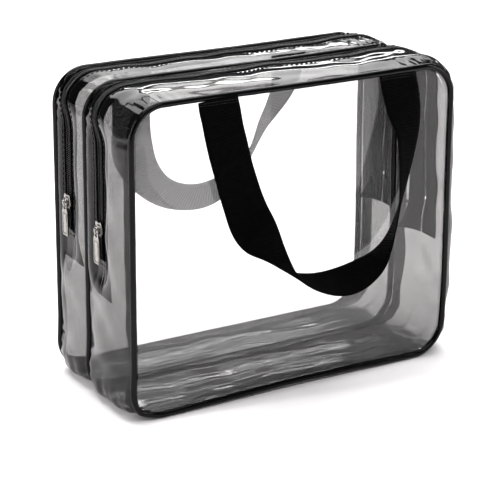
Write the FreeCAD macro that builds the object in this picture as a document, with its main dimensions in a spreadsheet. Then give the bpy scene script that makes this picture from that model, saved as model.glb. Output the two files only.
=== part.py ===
# Clear two-compartment toiletry bag with two zips and two webbing handles.
# Frame: origin at the middle of the underside, +X along the width, +Y from front to back, +Z up.
# Lengths are millimetres. Run as a FreeCAD macro: it writes one STEP file for each piece.
import FreeCAD, Part
import Sketcher
import math
import os
import re

# Driving dimensions. Each becomes an aliased cell of the sheet named Sizes.
SIZES = {
    "bag_width": 270.0,        # between the centre lines of the side piping
    "bag_height": 232.0,       # between the centre lines of the bottom and top piping
    "bag_depth": 120.0,        # between the centre lines of the front and back piping
    "corner_radius": 25.0,     # of the piping at the four corners of each panel
    "divider_place": 11.0,     # Y of the sheet between the compartments
    "bead_radius": 2.4,        # piping bead
    "sheet_thick": 0.8,        # PVC sheet
    "fold_height": 75.0,       # Z where a panel folds outwards when its compartment is open
    "split_height": 150.0,     # Z above which the two sides of an open zip come apart
    "split_gap": 0.3,          # clearance between a fixed piece and the flap above it
    "front_zip_place": -12.0,  # Y of the front zip's centre line
    "back_zip_place": 39.5,    # Y of the back zip's centre line
    "front_zip_low": 110.0,    # Z of the front zip's ends
    "back_zip_low": 118.0,     # Z of the back zip's ends
    "front_tail_low": 84.0,    # Z of the front tape's loose ends
    "back_tail_low": 95.0,     # Z of the back tape's loose ends
    "slot_width": 14.0,        # gap between the sheets on the two sides of a zip
    "tape_width": 30.0,        # whole zip tape, both sides
    "tape_thick": 0.8,
    "chain_gap": 1.6,          # between the two coils, where the slider's post runs
    "coil_width": 2.2,
    "coil_thick": 1.8,
    "stop_length": 2.0,        # end stop of a zip, along the chain
    "stop_width": 7.0,
    "stop_gap": 0.5,           # from the end of the slot to the stop, and from the stop to the coil
    "binding_width": 9.6,      # seam binding inside the bag
    "strap_width": 32.0,       # handle webbing
    "strap_thick": 1.6,
    "strap_standoff": 2.9,     # panel face to the middle of the webbing where it hangs flat
    "tab_height": 11.0,        # sewn end of a handle, below the top piping
    "handle_top": 226.0,       # Z of the upper ends of the hanging webbing
    "front_handle_left": -67.0,
    "front_handle_right": 86.0,
    "back_handle_left": -70.0,
    "back_handle_right": 68.5,
    "front_slider_height": 134.0,
    "back_slider_height": 140.5,
    "slider_length": 12.5,
    "slider_width": 9.6,
    "slider_plate": 1.2,
    "slider_clearance": 0.4,
    "slider_flange": 0.9,
    "post_width": 0.8,
    "post_length": 4.0,
    "crown_length": 8.0,
    "crown_width": 2.8,
    "crown_height": 3.6,
    "crown_wall": 1.2,
    "pin_radius": 0.7,
    "pin_height": 1.3,         # pin's centre above the slider's outer plate
    "pull_length": 26.0,       # pin to the free end of the pull tab
    "pull_width": 9.2,
    "pull_thick": 1.2,
    "pull_corner": 1.5,
    "pull_top": 0.9,           # tab above the pin's centre
    "eye_width": 4.0,          # gap in the tab that the crown passes through
    "eye_length": 5.4,
}

# Expressions shared by many pieces.
SIDE = "bag_width / 2"
LOW = "bead_radius"
HIGH = "bead_radius + bag_height"
SPLIT = "split_height + split_gap"
FOLD = "fold_height + split_gap"

# Handle routes: X, Z and twist in degrees at each station, from the left end to the right one.
# No twist lies flat on the panel, and 90 stands the webbing square to it, inner edge outwards.
FRONT_LOOP = (
    (-64, 212, 0), (-59, 192, 0), (-54, 174, 0), (-48.5, 156, 3), (-43.5, 139, 20),
    (-35, 121, 58), (-24, 107, 83), (-13, 97, 92), (0, 89.5, 98), (19, 84.5, 106),
    (37, 85.5, 107), (54, 93, 91), (66, 103, 71), (74, 114, 61), (79, 127, 56),
    (83.5, 142, 48), (88, 164, 37), (91, 187, 25), (90, 205, 7),
)
BACK_LOOP = (
    (-71, 205, 0), (-71, 186, 0), (-69, 168, -14), (-62.5, 150, -34), (-52.5, 135, -43),
    (-41, 124.5, -42), (-28, 118, -38), (-13, 115, -33), (2, 116, -29), (16, 121, -31),
    (30, 129, -40), (41, 141, -48), (48, 153, -47), (54, 166, -40), (62, 179, -32),
    (68.5, 193, -21), (70, 208, -9),
)

document = FreeCAD.newDocument("toiletry_bag")
sheet = document.addObject("Spreadsheet::Sheet", "Sizes")
for row_number, (word, number) in enumerate(SIZES.items(), start=1):
    sheet.set("A%d" % row_number, word)
    sheet.set("B%d" % row_number, str(number))
    sheet.setAlias("B%d" % row_number, word)
document.recompute()

pieces = []


def cells(text):
    """Write the expression with each dimension's word as a cell of the sheet."""
    return re.sub(r"[a-z_]+", lambda found: "Sizes." + found.group(0) if found.group(0) in SIZES
                  else found.group(0), text)


def value(text):
    """Work out an expression of the sheet's words as a number."""
    result = sheet.evalExpression(cells(text))
    return float(getattr(result, "Value", result))


def new_body(name):
    """Start a PartDesign body that is one piece of the bag."""
    body = document.addObject("PartDesign::Body", name)
    body.Label = name
    pieces.append(body)
    return body


def new_sketch(body, role, offset):
    """Put a sketch on one of the body's own planes, moved along the plane's normal."""
    sketch = body.newObject("Sketcher::SketchObject", body.Name + "_sketch")
    plane = [feature for feature in body.Origin.OriginFeatures if feature.Role == role][0]
    sketch.AttachmentSupport = [(plane, "")]
    sketch.MapMode = "FlatFace"
    sketch.setExpression("AttachmentOffset.Base.z", cells(offset))
    return sketch


def lock_point(sketch, element, point, across, along):
    """Hold a sketch point at two expressions, measured from the sketch's origin."""
    for kind, text in (("DistanceX", across), ("DistanceY", along)):
        number = sketch.addConstraint(
            Sketcher.Constraint(kind, -1, 1, element, point, value(text)))
        sketch.setExpression("Constraints[%d]" % number, cells(text))


def lock_radius(sketch, element, radius):
    """Hold the radius of an arc or circle at an expression."""
    number = sketch.addConstraint(Sketcher.Constraint("Radius", element, value(radius)))
    sketch.setExpression("Constraints[%d]" % number, cells(radius))


def unit_towards(start, end):
    """Give the unit vector from one point to another."""
    step = end - start
    step.normalize()
    return step


def outline(sketch, corners, closed=True):
    """Draw lines through the corners, rounding each corner that has a radius."""
    points = [FreeCAD.Vector(value(x), value(y), 0) for x, y, radius in corners]
    count = len(corners)
    ends = []
    for index, (x, y, radius) in enumerate(corners):
        here = points[index]
        if radius is None:
            ends.append({"entry": here, "leave": here})
            continue
        back = unit_towards(here, points[index - 1])
        ahead = unit_towards(here, points[(index + 1) % count])
        size = value(radius)
        centre = here + (back + ahead) * size
        entry = here + back * size
        leave = here + ahead * size
        left_turn = back.cross(ahead).z < 0
        first, last = (entry, leave) if left_turn else (leave, entry)
        circle = Part.Circle(centre, FreeCAD.Vector(0, 0, 1), size)
        arc = Part.ArcOfCircle(circle, math.atan2(first.y - centre.y, first.x - centre.x),
                               math.atan2(last.y - centre.y, last.x - centre.x))
        element = sketch.addGeometry(arc, False)
        lock_point(sketch, element, 3,
                   "%s + %d * (%s)" % (x, round(back.x + ahead.x), radius),
                   "%s + %d * (%s)" % (y, round(back.y + ahead.y), radius))
        lock_radius(sketch, element, radius)
        ends.append({"entry": entry, "leave": leave, "arc": element,
                     "entry_point": 1 if left_turn else 2, "leave_point": 2 if left_turn else 1})
    lines = [sketch.addGeometry(Part.LineSegment(ends[index]["leave"],
                                                 ends[(index + 1) % count]["entry"]), False)
             for index in range(count if closed else count - 1)]
    if not closed:
        lock_point(sketch, lines[0], 1, corners[0][0], corners[0][1])
        lock_point(sketch, lines[-1], 2, corners[-1][0], corners[-1][1])
    for index, end in enumerate(ends):
        if not closed and index in (0, count - 1):
            continue
        if "arc" in end:
            sketch.addConstraint(Sketcher.Constraint(
                "Tangent", lines[index - 1], 2, end["arc"], end["entry_point"]))
            sketch.addConstraint(Sketcher.Constraint(
                "Tangent", end["arc"], end["leave_point"], lines[index], 1))
        else:
            sketch.addConstraint(Sketcher.Constraint(
                "Coincident", lines[index - 1], 2, lines[index], 1))
            lock_point(sketch, lines[index], 1, corners[index][0], corners[index][1])


def rectangle(sketch, left, bottom, right, top, radius=None):
    """Draw a rectangle from four expressions."""
    outline(sketch, ((left, bottom, radius), (right, bottom, radius),
                     (right, top, radius), (left, top, radius)))


def arch_corners(inset, thick, foot):
    """Give the band over the top: feet at a height, its outer face inset from the piping line."""
    inner = "%s + %s" % (inset, thick)
    return (("-(%s) + %s" % (SIDE, inset), foot, None),
            ("-(%s) + %s" % (SIDE, inset), "%s - (%s)" % (HIGH, inset),
             "corner_radius - (%s)" % inset),
            ("%s - (%s)" % (SIDE, inset), "%s - (%s)" % (HIGH, inset),
             "corner_radius - (%s)" % inset),
            ("%s - (%s)" % (SIDE, inset), foot, None),
            ("%s - (%s)" % (SIDE, inner), foot, None),
            ("%s - (%s)" % (SIDE, inner), "%s - (%s)" % (HIGH, inner),
             "corner_radius - (%s)" % inner),
            ("-(%s) + %s" % (SIDE, inner), "%s - (%s)" % (HIGH, inner),
             "corner_radius - (%s)" % inner),
            ("-(%s) + %s" % (SIDE, inner), foot, None))


def trough_corners(inset, thick, rim, floor):
    """Give the band under the bag, from a floor height up both sides to a rim."""
    inner = "%s + %s" % (inset, thick)
    return (("-(%s) + %s" % (SIDE, inset), rim, None),
            ("-(%s) + %s" % (SIDE, inset), "%s + %s" % (floor, inset),
             "corner_radius - (%s)" % inset),
            ("%s - (%s)" % (SIDE, inset), "%s + %s" % (floor, inset),
             "corner_radius - (%s)" % inset),
            ("%s - (%s)" % (SIDE, inset), rim, None),
            ("%s - (%s)" % (SIDE, inner), rim, None),
            ("%s - (%s)" % (SIDE, inner), "%s + %s" % (floor, inner),
             "corner_radius - (%s)" % inner),
            ("-(%s) + %s" % (SIDE, inner), "%s + %s" % (floor, inner),
             "corner_radius - (%s)" % inner),
            ("-(%s) + %s" % (SIDE, inner), rim, None))


def ring_corners(inset):
    """Give a whole rounded rectangle, inset from the piping line."""
    radius = "corner_radius - (%s)" % inset
    return (("-(%s) + %s" % (SIDE, inset), "%s + %s" % (LOW, inset), radius),
            ("%s - (%s)" % (SIDE, inset), "%s + %s" % (LOW, inset), radius),
            ("%s - (%s)" % (SIDE, inset), "%s - (%s)" % (HIGH, inset), radius),
            ("-(%s) + %s" % (SIDE, inset), "%s - (%s)" % (HIGH, inset), radius))


def extrude(body, sketch, length):
    """Pad a sketch along its plane's normal."""
    pad = body.newObject("PartDesign::Pad", body.Name + "_pad")
    pad.Profile = sketch
    pad.setExpression("Length", cells(length))
    return pad


def band(name, outlines, first_y, second_y):
    """Make a piece from outlines in the front plane, reaching between two places in Y."""
    near, far = sorted((first_y, second_y), key=value)
    body = new_body(name)
    sketch = new_sketch(body, "XZ_Plane", "-(%s)" % far)
    for corners in outlines:
        outline(sketch, corners)
    extrude(body, sketch, "%s - (%s)" % (far, near))
    return body


def panel(name, low, high, place, round_low, round_high):
    """Make a flat PVC panel inside the piping."""
    radius = "corner_radius - bead_radius"
    left = "-(%s) + bead_radius" % SIDE
    right = "%s - bead_radius" % SIDE
    corners = ((left, low, radius if round_low else None),
               (right, low, radius if round_low else None),
               (right, high, radius if round_high else None),
               (left, high, radius if round_high else None))
    return band(name, (corners,), "%s - sheet_thick / 2" % place,
                "%s + sheet_thick / 2" % place)


def piping(name, place, start_height, corners, closed):
    """Sweep the piping bead along a rounded route in the panel's plane."""
    body = new_body(name)
    route = new_sketch(body, "XZ_Plane", "-(%s)" % place)
    outline(route, corners, closed)
    section = new_sketch(body, "XY_Plane", start_height)
    circle = Part.Circle(FreeCAD.Vector(value("-(%s)" % SIDE), value(place), 0),
                         FreeCAD.Vector(0, 0, 1), value("bead_radius"))
    element = section.addGeometry(circle, False)
    lock_point(section, element, 3, "-(%s)" % SIDE, place)
    lock_radius(section, element, "bead_radius")
    sweep = body.newObject("PartDesign::AdditivePipe", name + "_bead")
    sweep.Profile = section
    sweep.Spine = route
    return body


def box(name, low, high):
    """Make a plain block between two corners, each a triple of expressions."""
    block = document.addObject("Part::Box", name)
    block.Label = name
    for axis, letter in enumerate("xyz"):
        block.setExpression("Placement.Base." + letter, cells(low[axis]))
    for axis, side in enumerate(("Length", "Width", "Height")):
        block.setExpression(side, cells("%s - (%s)" % (high[axis], low[axis])))
    pieces.append(block)
    return block


def cut_slots(body, zip_place, low):
    """Cut the zip's slot in both side walls of a lower gusset."""
    sketch = new_sketch(body, "YZ_Plane", "0")
    rectangle(sketch, "%s - slot_width / 2" % zip_place, low,
              "%s + slot_width / 2" % zip_place, "split_height + corner_radius")
    pocket = body.newObject("PartDesign::Pocket", body.Name + "_slots")
    pocket.Profile = sketch
    pocket.Type = 1
    pocket.Midplane = True
    return pocket


def side_block(name, hand, inset, thick, first_y, second_y, low, high):
    """Make a short upright length of tape or coil on the left (-1) or right (+1) side."""
    near, far = sorted((first_y, second_y), key=value)
    faces = ("%d * (%s - (%s))" % (hand, SIDE, inset),
             "%d * (%s - (%s) - (%s))" % (hand, SIDE, inset, thick))
    left, right = sorted(faces, key=value)
    return box(name, (left, near, low), (right, far, high))


def compartment(name, hand, zip_place, zip_low, tail_low):
    """Make one compartment's sheets, piping, bindings and zip; hand is -1 in front, +1 behind."""
    wall = "%d * bag_depth / 2" % hand
    wall_bead = "%s - %d * bead_radius" % (wall, hand)
    divider_bead = "divider_place + %d * bead_radius" % hand
    outer_edge = "%s + %d * slot_width / 2" % (zip_place, hand)
    inner_edge = "%s - %d * slot_width / 2" % (zip_place, hand)

    panel(name + "_panel_lower", "2 * bead_radius", "fold_height", wall, True, False)
    panel(name + "_panel_upper", FOLD, "bag_height", wall, False, True)
    piping(name + "_piping_lower", wall, "fold_height",
           (("-(%s)" % SIDE, "fold_height", None), ("-(%s)" % SIDE, LOW, "corner_radius"),
            (SIDE, LOW, "corner_radius"), (SIDE, "fold_height", None)), False)
    piping(name + "_piping_upper", wall, FOLD,
           (("-(%s)" % SIDE, FOLD, None), ("-(%s)" % SIDE, HIGH, "corner_radius"),
            (SIDE, HIGH, "corner_radius"), (SIDE, FOLD, None)), False)

    # The underside sags to the level that the piping stands on.
    lower = band(name + "_gusset_lower",
                 (trough_corners("0", "sheet_thick", "split_height", "0"),),
                 wall_bead, divider_bead)
    cut_slots(lower, zip_place, zip_low)
    band(name + "_gusset_flap_strip", (arch_corners("0", "sheet_thick", SPLIT),),
         wall_bead, outer_edge)
    band(name + "_gusset_divider_strip", (arch_corners("0", "sheet_thick", SPLIT),),
         inner_edge, divider_bead)

    binding_inset = "sheet_thick + tape_thick"
    binding_edge = "%s - %d * binding_width" % (wall_bead, hand)
    band(name + "_binding_lower",
         (trough_corners(binding_inset, "sheet_thick", "fold_height", LOW),),
         wall_bead, binding_edge)
    band(name + "_binding_upper", (arch_corners(binding_inset, "sheet_thick", FOLD),),
         wall_bead, binding_edge)

    half_tape = "tape_width / 2"
    layers = (("tape", "sheet_thick", "tape_thick", "chain_gap / 2", half_tape, tail_low),
              ("coil", "sheet_thick - coil_thick", "coil_thick", "chain_gap / 2",
               "chain_gap / 2 + coil_width", "%s + 2 * stop_gap + stop_length" % zip_low))
    for kind, inset, thick, near, far, foot in layers:
        flap_side = ["%s + %d * (%s)" % (zip_place, hand, edge) for edge in (near, far)]
        divider_side = ["%s - %d * (%s)" % (zip_place, hand, edge) for edge in (near, far)]
        band("%s_zip_%s_flap_side" % (name, kind), (arch_corners(inset, thick, SPLIT),), *flap_side)
        band("%s_zip_%s_divider_side" % (name, kind), (arch_corners(inset, thick, foot),),
             *divider_side)
        for side, word in ((-1, "left"), (1, "right")):
            side_block("%s_zip_%s_%s_end" % (name, kind, word), side, inset, thick,
                       *flap_side, foot, "split_height")
    for side, word in ((-1, "left"), (1, "right")):
        side_block("%s_zip_stop_%s" % (name, word), side, "sheet_thick - coil_thick", "coil_thick",
                   "%s - stop_width / 2" % zip_place, "%s + stop_width / 2" % zip_place,
                   "%s + stop_gap" % zip_low, "%s + stop_gap + stop_length" % zip_low)


def slider(name, place, height):
    """Make a zip slider: two plates, post, flanges, and the crown that holds the pull."""
    body = new_body(name)
    outer_face = "-(%s) + sheet_thick - coil_thick - slider_clearance" % SIDE
    inner_face = "-(%s) + sheet_thick + tape_thick + slider_clearance" % SIDE
    crown_face = "%s - slider_plate" % outer_face
    bottom = "%s - slider_length / 2" % height
    top = "%s + slider_length / 2" % height
    left = "%s - slider_width / 2" % place
    right = "%s + slider_width / 2" % place
    blocks = (
        (crown_face, outer_face, left, bottom, right, top),
        (outer_face, inner_face, "%s - post_width / 2" % place, bottom,
         "%s + post_width / 2" % place, "%s + post_length" % bottom),
        (inner_face, "%s + slider_plate" % inner_face, left, bottom, right, top),
        (outer_face, "-(%s) + sheet_thick - slider_clearance" % SIDE,
         left, bottom, "%s + slider_flange" % left, top),
        (outer_face, "-(%s) + sheet_thick - slider_clearance" % SIDE,
         "%s - slider_flange" % right, bottom, right, top),
        ("%s - crown_height" % crown_face, crown_face,
         "%s - crown_width / 2" % place, "%s - crown_length / 2" % height,
         "%s + crown_width / 2" % place, "%s + crown_length / 2" % height),
    )
    for start, end, low_y, low_z, high_y, high_z in blocks:
        sketch = new_sketch(body, "YZ_Plane", start)
        rectangle(sketch, low_y, low_z, high_y, high_z)
        extrude(body, sketch, "%s - (%s)" % (end, start))
    window = new_sketch(body, "XZ_Plane", "-(%s)" % place)
    rectangle(window, "%s - crown_height + crown_wall" % crown_face,
              "%s - crown_length / 2 + crown_wall" % height, crown_face,
              "%s + crown_length / 2 - crown_wall" % height)
    opening = body.newObject("PartDesign::Pocket", name + "_window")
    opening.Profile = window
    opening.Type = 1
    opening.Midplane = True
    return body


def pull_tab(name, place, height):
    """Make the flat pull tab, its eye open around the crown and closed by a round pin."""
    body = new_body(name)
    pin_x = ("-(%s) + sheet_thick - coil_thick - slider_clearance - slider_plate - pin_height"
             % SIDE)
    left = "%s - pull_width / 2" % place
    right = "%s + pull_width / 2" % place
    top = "%s + pull_top" % height
    eye_left = "%s - eye_width / 2" % place
    eye_right = "%s + eye_width / 2" % place
    eye_low = "%s - eye_length" % height
    plate = new_sketch(body, "YZ_Plane", "%s - pull_thick / 2" % pin_x)
    outline(plate, ((left, "%s - pull_length" % height, "pull_corner"),
                    (right, "%s - pull_length" % height, "pull_corner"),
                    (right, top, None), (eye_right, top, None), (eye_right, eye_low, None),
                    (eye_left, eye_low, None), (eye_left, top, None), (left, top, None)))
    extrude(body, plate, "pull_thick")
    section = new_sketch(body, "XZ_Plane", "-(%s)" % right)
    circle = Part.Circle(FreeCAD.Vector(value(pin_x), value(height), 0),
                         FreeCAD.Vector(0, 0, 1), value("pin_radius"))
    element = section.addGeometry(circle, False)
    lock_point(section, element, 3, pin_x, height)
    lock_radius(section, element, "pin_radius")
    extrude(body, section, "pull_width")
    return body


def strap_centres(loop, hand, left_end, right_end):
    """Give the webbing's centre line and twist; it stands off the panel as it twists."""
    face = value("bag_depth / 2 + sheet_thick / 2 + strap_standoff")
    reach = value("strap_width / 2")
    top = value("handle_top")
    stations = ((value(left_end), top, 0),) + loop + ((value(right_end), top, 0),)
    return [(FreeCAD.Vector(x, hand * (face + reach * abs(math.sin(math.radians(twist)))), z),
             math.radians(twist)) for x, z, twist in stations]


def handle(name, loop, hand, left_end, right_end):
    """Make a handle's webbing as a ruled solid through its stations."""
    stations = strap_centres(loop, hand, left_end, right_end)
    centres = [centre for centre, twist in stations]
    half_width = value("strap_width / 2")
    half_thick = value("strap_thick / 2")
    sections = []
    for index, (centre, twist) in enumerate(stations):
        before = centres[max(index - 1, 0)]
        after = centres[min(index + 1, len(centres) - 1)]
        along = unit_towards(before, after)
        if index in (0, len(centres) - 1):
            along = FreeCAD.Vector(0, 0, -1 if index == 0 else 1)
        inwards = FreeCAD.Vector(-along.z, 0, along.x)
        inwards.normalize()
        across = inwards * math.cos(twist) + FreeCAD.Vector(0, hand * math.sin(twist), 0)
        normal = along.cross(across)
        normal.normalize()
        across = normal.cross(along)
        corners = [centre + across * (half_width * one) + normal * (half_thick * other)
                   for one, other in ((-1, -1), (1, -1), (1, 1), (-1, 1))]
        sections.append(Part.makePolygon(corners + [corners[0]]))
    feature = document.addObject("Part::Feature", name)
    feature.Label = name
    feature.Shape = Part.makeLoft(sections, True, True)
    feature.Placement = FreeCAD.Placement()
    pieces.append(feature)
    return feature


def handle_tab(name, place, hand):
    """Make the sewn end of a handle, flat on the panel under the top piping."""
    face = "%d * (bag_depth / 2 + sheet_thick / 2)" % hand
    outside = "%s + %d * strap_thick" % (face, hand)
    near, far = sorted((face, outside), key=value)
    box(name, ("%s - strap_width / 2" % place, near, "bag_height - tab_height"),
        ("%s + strap_width / 2" % place, far, "bag_height"))


# Front and back compartments, with the divider between them.
compartment("front", -1, "front_zip_place", "front_zip_low", "front_tail_low")
compartment("back", 1, "back_zip_place", "back_zip_low", "back_tail_low")
panel("divider_panel", "2 * bead_radius", "bag_height", "divider_place", True, True)
piping("divider_piping", "divider_place", "%s + bag_height / 2" % LOW, ring_corners("0"), True)
band("divider_binding", (ring_corners("sheet_thick + tape_thick"),
                         ring_corners("2 * sheet_thick + tape_thick")),
     "divider_place - bead_radius", "divider_place - bead_radius - binding_width")

# Sliders and pulls on the left side.
slider("front_slider_body", "front_zip_place", "front_slider_height")
pull_tab("front_pull_tab", "front_zip_place", "front_slider_height")
slider("back_slider_body", "back_zip_place", "back_slider_height")
pull_tab("back_pull_tab", "back_zip_place", "back_slider_height")

# Handles and their sewn ends.
handle("front_handle_strap", FRONT_LOOP, -1, "front_handle_left", "front_handle_right")
handle("back_handle_strap", BACK_LOOP, 1, "back_handle_left", "back_handle_right")
handle_tab("front_handle_tab_left", "front_handle_left", -1)
handle_tab("front_handle_tab_right", "front_handle_right", -1)
handle_tab("back_handle_tab_left", "back_handle_left", 1)
handle_tab("back_handle_tab_right", "back_handle_right", 1)

document.recompute()

for item in document.Objects:
    if "Invalid" in item.State or "Error" in item.State:
        raise RuntimeError("%s failed: %s" % (item.Label, item.State))

os.makedirs("parts", exist_ok=True)
for piece in pieces:
    shape = piece.Shape
    if shape.isNull() or not shape.isValid() or shape.Volume <= 0:
        raise RuntimeError("%s has no valid solid" % piece.Label)
    shape.exportStep(os.path.join("parts", piece.Label + ".step"))
    print("%-32s %2d solid  %9.1f mm3" % (piece.Label, len(shape.Solids), shape.Volume))
print("%d pieces" % len(pieces))
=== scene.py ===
"""Clear two-compartment toiletry bag: PVC sheet, piping, two zips and webbing handles."""

import logging
import math
from dataclasses import dataclass, field
from enum import Enum
from typing import Callable, Iterable

import bmesh
import bpy
import numpy as np
from mathutils import Matrix, Vector


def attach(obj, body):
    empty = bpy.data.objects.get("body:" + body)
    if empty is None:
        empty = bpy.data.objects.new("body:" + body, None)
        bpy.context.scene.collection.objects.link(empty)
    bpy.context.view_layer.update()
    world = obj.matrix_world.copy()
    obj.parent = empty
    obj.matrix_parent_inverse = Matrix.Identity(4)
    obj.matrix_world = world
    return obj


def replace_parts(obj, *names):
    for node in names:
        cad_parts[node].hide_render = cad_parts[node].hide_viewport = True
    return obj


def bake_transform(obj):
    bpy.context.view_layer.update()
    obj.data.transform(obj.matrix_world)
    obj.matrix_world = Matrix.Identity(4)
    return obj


log = logging.getLogger("toiletry_bag")

MM = 0.001          # every shape is worked out in millimetres and written in metres
BEADS = (-60.0, 11.0, 60.0)     # Y of the front, divider and back piping
BEAD_RADIUS = 2.4
TAU = 2.0 * math.pi


# ---------------------------------------------------------------- small tools

def linear(hex_code: str) -> tuple[float, float, float, float]:
    """Turn an sRGB hex colour of six digits into linear red, green, blue and alpha."""
    parts = [int(hex_code[i:i + 2], 16) / 255.0 for i in (0, 2, 4)]
    return tuple([c / 12.92 if c <= 0.04045 else ((c + 0.055) / 1.055) ** 2.4
                  for c in parts] + [1.0])


def add_node(tree: bpy.types.NodeTree, kind: str, settings: dict | None = None,
             links: dict | None = None) -> bpy.types.Node:
    """Add one node with its settings and links.

    Args:
        tree: tree to add to.
        kind: node type.
        settings: attribute names, or input names or numbers, with their values.
        links: input names or numbers, with the output sockets that feed them.
    Returns:
        The node.
    """
    node = tree.nodes.new(kind)
    for key, setting in (settings or {}).items():
        if isinstance(key, str) and hasattr(node, key):
            setattr(node, key, setting)
        else:
            node.inputs[key].default_value = setting
    for key, source in (links or {}).items():
        tree.links.new(source, node.inputs[key])
    return node


def maths(tree: bpy.types.NodeTree, operation: str,
          *values: float | bpy.types.NodeSocket) -> bpy.types.NodeSocket:
    """Add one maths node, whose inputs in order are numbers or sockets, and give its result."""
    linked = {i: v for i, v in enumerate(values) if isinstance(v, bpy.types.NodeSocket)}
    fixed = {i: v for i, v in enumerate(values) if i not in linked}
    return add_node(tree, "ShaderNodeMath", {"operation": operation, **fixed}, linked).outputs[0]


def smooth_step(t: np.ndarray) -> np.ndarray:
    """Ease from 0 to 1 as t goes from 0 to 1."""
    t = np.clip(t, 0.0, 1.0)
    return t * t * (3.0 - 2.0 * t)


def bump_at(value: np.ndarray, centre: float, spread: float) -> np.ndarray:
    """Give a bell curve of height 1."""
    return np.exp(-((value - centre) / spread) ** 2)


def waves(rows: Iterable[tuple[float, ...]], a: np.ndarray, b: np.ndarray) -> np.ndarray:
    """Add up sine waves, each given by its height, its spans along a and b, and its phase."""
    return sum(height * np.sin(TAU * (a / span_a + b / span_b) + phase)
               for height, span_a, span_b, phase in rows)


def mesh_object(name: str, points: np.ndarray, faces: Iterable[Iterable[int]],
                edges: Iterable[Iterable[int]] = ()) -> bpy.types.Object:
    """Make a smooth-shaded mesh object at the origin.

    Args:
        name: piece name.
        points: vertices in millimetres.
        faces: vertex numbers of each face.
        edges: vertex numbers of loose edges.
    Returns:
        The object, linked to the scene.
    """
    mesh = bpy.data.meshes.new(name)
    mesh.from_pydata((np.asarray(points, float).reshape(-1, 3) * MM).tolist(),
                     [tuple(e) for e in edges], [tuple(f) for f in faces])
    mesh.polygons.foreach_set("use_smooth", [True] * len(mesh.polygons))
    mesh.update()
    piece = bpy.data.objects.new(name, mesh)
    bpy.context.scene.collection.objects.link(piece)
    return piece


def grid_faces(rows: int, columns: int, wrap_rows: bool = False, wrap_columns: bool = False,
               keep: Callable[[int, int], bool] | None = None,
               flip: bool = False) -> list[tuple[int, ...]]:
    """List the quads of a grid of vertices.

    Args:
        rows, columns: size of the grid.
        wrap_rows, wrap_columns: whether it closes on itself.
        keep: test of a quad's row and column.
        flip: whether the quads face the other way.
    Returns:
        The quads.
    """
    quads = []
    for i in range(rows if wrap_rows else rows - 1):
        for j in range(columns if wrap_columns else columns - 1):
            if keep is None or keep(i, j):
                k, m = (i + 1) % rows, (j + 1) % columns
                quad = (i * columns + j, k * columns + j, k * columns + m, i * columns + m)
                quads.append(quad[::-1] if flip else quad)
    return quads


def tube_faces(rings: int, sides: int, flip: bool = True) -> list[tuple[int, ...]]:
    """List the faces of a tube of rings, closed by a cap at each end."""
    last = range((rings - 1) * sides, rings * sides)
    return (grid_faces(rings, sides, wrap_columns=True, flip=flip)
            + [tuple(range(sides)), tuple(reversed(last))])


def reworked(piece: bpy.types.Object,
             edit: Callable[[bmesh.types.BMesh], object]) -> bpy.types.Object:
    """Edit a piece's mesh in place and give the piece back."""
    work = bmesh.new()
    work.from_mesh(piece.data)
    edit(work)
    work.to_mesh(piece.data)
    work.free()
    return piece


def drop_loose(piece: bpy.types.Object) -> bpy.types.Object:
    """Delete vertices that no face uses."""
    return reworked(piece, lambda work: bmesh.ops.delete(
        work, geom=[v for v in work.verts if not v.link_faces], context="VERTS"))


def face_outwards(piece: bpy.types.Object) -> bpy.types.Object:
    """Turn every face of a closed piece outwards."""
    return reworked(piece, lambda work: bmesh.ops.recalc_face_normals(work, faces=work.faces))


def settle_mesh(piece: bpy.types.Object) -> bpy.types.Object:
    """Turn a piece with modifiers into one plain mesh."""
    bpy.context.view_layer.update()
    graph = bpy.context.evaluated_depsgraph_get()
    plain = bpy.data.meshes.new_from_object(piece.evaluated_get(graph))
    plain.name = piece.name
    piece.modifiers.clear()
    piece.data = plain
    return piece


def thicken(piece: bpy.types.Object, thickness: float) -> bpy.types.Object:
    """Give a sheet its thickness in millimetres, half to each side."""
    wall = piece.modifiers.new("wall", "SOLIDIFY")
    wall.thickness = thickness * MM
    wall.offset = 0.0
    return settle_mesh(piece)


def rounded(piece: bpy.types.Object, width: float) -> bpy.types.Object:
    """Round a hard piece's edges by a width in millimetres."""
    edge = piece.modifiers.new("round", "BEVEL")
    edge.width = width * MM
    edge.segments = 3
    edge.limit_method = "ANGLE"
    edge.angle_limit = math.radians(40)
    return settle_mesh(piece)


def joined(name: str, parts: list[bpy.types.Object]) -> bpy.types.Object:
    """Join several meshes at the origin into one piece."""
    piece = mesh_object(name, np.zeros((0, 3)), [])

    def gather(work: bmesh.types.BMesh) -> None:
        """Take in every part and delete its object."""
        for part in parts:
            work.from_mesh(part.data)
            bpy.data.objects.remove(part)

    return reworked(piece, gather)


def laid_across(piece: bpy.types.Object,
                place: tuple[float, float, float] = (0.0, 0.0, 0.0)) -> bpy.types.Object:
    """Turn a bar from X to Y and move it to a place in millimetres."""
    piece.data.transform(Matrix.Rotation(math.pi / 2, 4, "Z"))
    piece.data.transform(Matrix.Translation(Vector(place) * MM))
    return piece


# ------------------------------------------------------------------ finishes

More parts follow.
